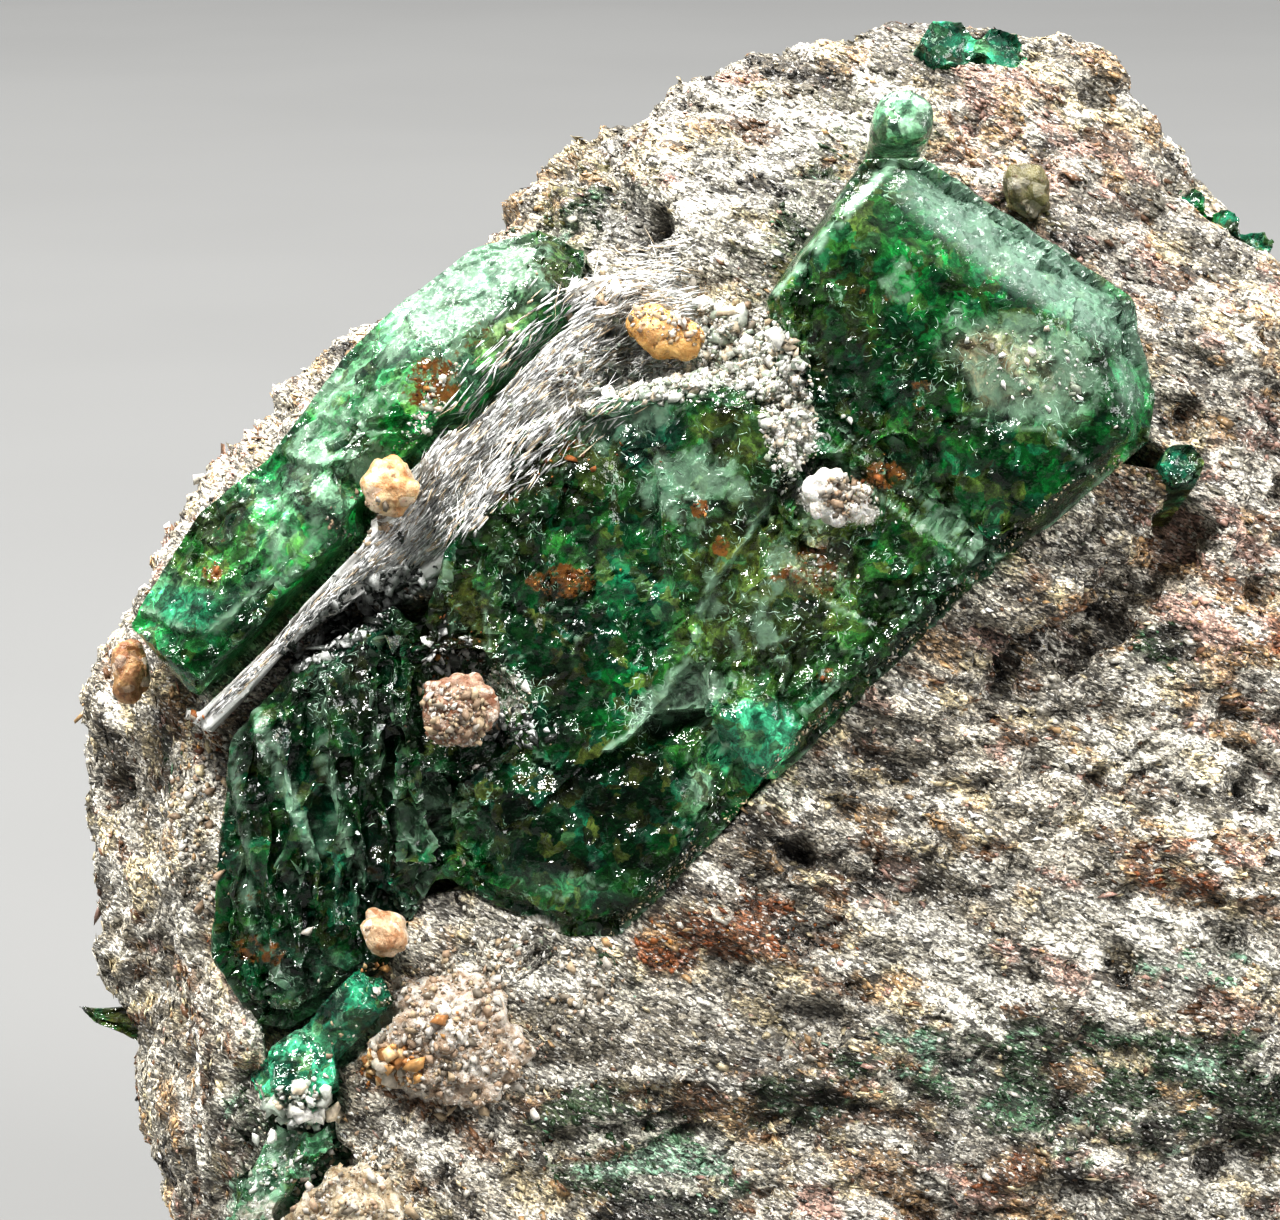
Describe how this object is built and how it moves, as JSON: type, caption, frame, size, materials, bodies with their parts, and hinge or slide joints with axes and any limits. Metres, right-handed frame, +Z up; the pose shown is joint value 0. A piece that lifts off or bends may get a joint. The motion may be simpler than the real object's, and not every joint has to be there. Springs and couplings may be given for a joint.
{
  "type": "emerald in matrix",
  "caption": "Rough emerald prisms grown in a chunk of pale mica schist, with a silky mica band and coloured grains, standing on a flat sawn base.",
  "frame": {"origin": "middle of the underside, on the surface that the specimen stands on", "axes": "+Z up, -Y towards the face with the big crystal, +X to the right of that face"},
  "size_m": [0.0438, 0.0332, 0.0389],
  "materials": {
    "mica_schist": "granular mica schist, rough, with bright flakes",
    "emerald_deep": "clear deep green beryl with veils and chips",
    "emerald_pale": "clear to cloudy pale green beryl",
    "emerald_olive": "dark olive-green beryl",
    "silky_mica": "grey-white silky mica and quartz",
    "white_feldspar": "white sugary feldspar",
    "orange_feldspar": "iron-stained orange feldspar",
    "olive_mica": "olive-brown mica"
  },
  "bodies": {
    "root": {"matrix_rock": "mica_schist", "emerald_main": "emerald_deep", "emerald_edge": "emerald_pale", "emerald_cluster": "emerald_deep", "emerald_foot": "emerald_pale", "emerald_crest": "emerald_pale", "emerald_peak": "emerald_deep", "emerald_rim": "emerald_deep", "emerald_spur": "emerald_olive", "emerald_side": "emerald_olive", "mica_ribbon": "silky_mica", "white_lump": "white_feldspar", "cream_lump": "white_feldspar", "snow_lump": "white_feldspar", "tan_grain": "white_feldspar", "pink_grain": "white_feldspar", "orange_grain": "orange_feldspar", "peach_grain": "orange_feldspar", "left_grain": "orange_feldspar", "olive_grain": "olive_mica"}
  },
  "joints": []
}
